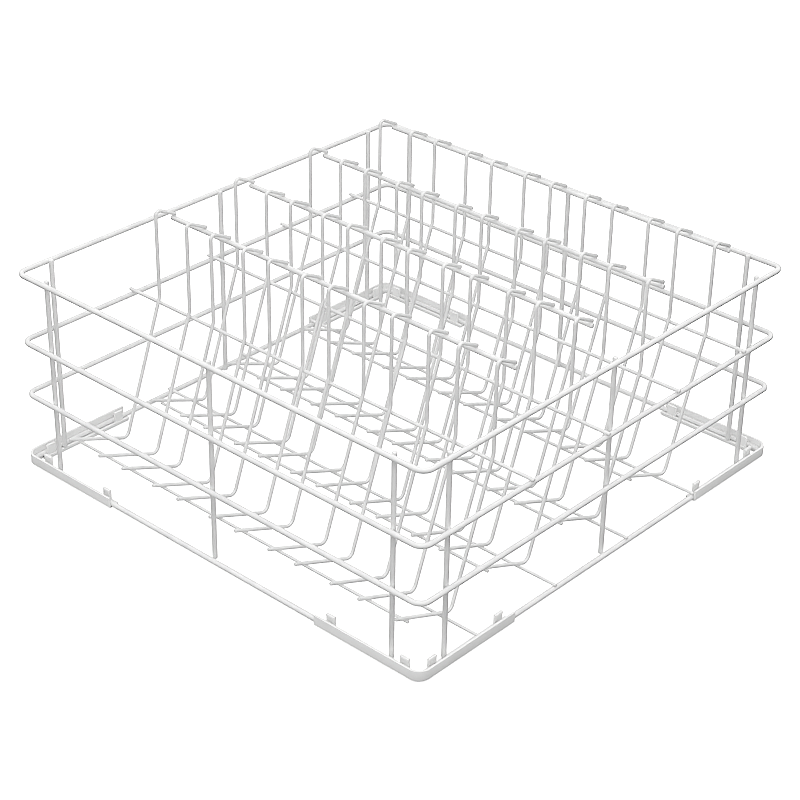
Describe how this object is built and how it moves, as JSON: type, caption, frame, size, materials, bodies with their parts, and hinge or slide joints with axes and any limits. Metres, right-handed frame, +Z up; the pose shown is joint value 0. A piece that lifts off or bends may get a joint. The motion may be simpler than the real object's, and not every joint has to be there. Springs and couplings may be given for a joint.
{
  "type": "dishwasher basket",
  "caption": "Square coated-wire dishwasher basket with rows of bent tines hooked over rails, standing on clip-on plastic corner shoes.",
  "frame": {"origin": "on the floor under the middle of the basket", "axes": "+Z up, +X along the rows, +Y from the front row to the back row"},
  "size_m": [0.5036, 0.5036, 0.2324],
  "materials": {
    "coated_wire": "smooth white plastic coating, half gloss",
    "shoe_plastic": "moulded, slightly satin"
  },
  "bodies": {
    "root": {"base_ring": "coated_wire", "lower_ring": "coated_wire", "middle_ring": "coated_wire", "top_rim": "coated_wire", "post_front_1": "coated_wire", "post_front_2": "coated_wire", "post_front_3": "coated_wire", "post_right_1": "coated_wire", "post_right_2": "coated_wire", "post_right_3": "coated_wire", "post_back_1": "coated_wire", "post_back_2": "coated_wire", "post_back_3": "coated_wire", "post_left_1": "coated_wire", "post_left_2": "coated_wire", "post_left_3": "coated_wire", "rail_a": "coated_wire", "rail_b": "coated_wire", "rail_c": "coated_wire", "rail_d": "coated_wire", "mid_wire_a": "coated_wire", "mid_wire_b": "coated_wire", "mid_wire_c": "coated_wire", "mid_wire_d": "coated_wire", "back_floor_wire_a": "coated_wire", "back_floor_wire_b": "coated_wire", "back_floor_wire_c": "coated_wire", "back_floor_wire_d": "coated_wire", "sole_wire_a": "coated_wire", "sole_wire_b": "coated_wire", "sole_wire_c": "coated_wire", "sole_wire_d": "coated_wire", "tine_pair_a1": "coated_wire", "tine_pair_a2": "coated_wire", "tine_pair_a3": "coated_wire", "tine_pair_a4": "coated_wire", "tine_pair_a5": "coated_wire", "tine_pair_a6": "coated_wire", "tine_pair_b1": "coated_wire", "tine_pair_b2": "coated_wire", "tine_pair_b3": "coated_wire", "tine_pair_b4": "coated_wire", "tine_pair_b5": "coated_wire", "tine_pair_b6": "coated_wire", "tine_pair_c1": "coated_wire", "tine_pair_c2": "coated_wire", "tine_pair_c3": "coated_wire", "tine_pair_c4": "coated_wire", "tine_pair_c5": "coated_wire", "tine_pair_c6": "coated_wire", "tine_pair_d1": "coated_wire", "tine_pair_d2": "coated_wire", "tine_pair_d3": "coated_wire", "tine_pair_d4": "coated_wire", "tine_pair_d5": "coated_wire", "tine_pair_d6": "coated_wire", "corner_shoe_back_right": "shoe_plastic", "corner_shoe_back_left": "shoe_plastic", "corner_shoe_front_left": "shoe_plastic", "corner_shoe_front_right": "shoe_plastic"}
  },
  "joints": []
}
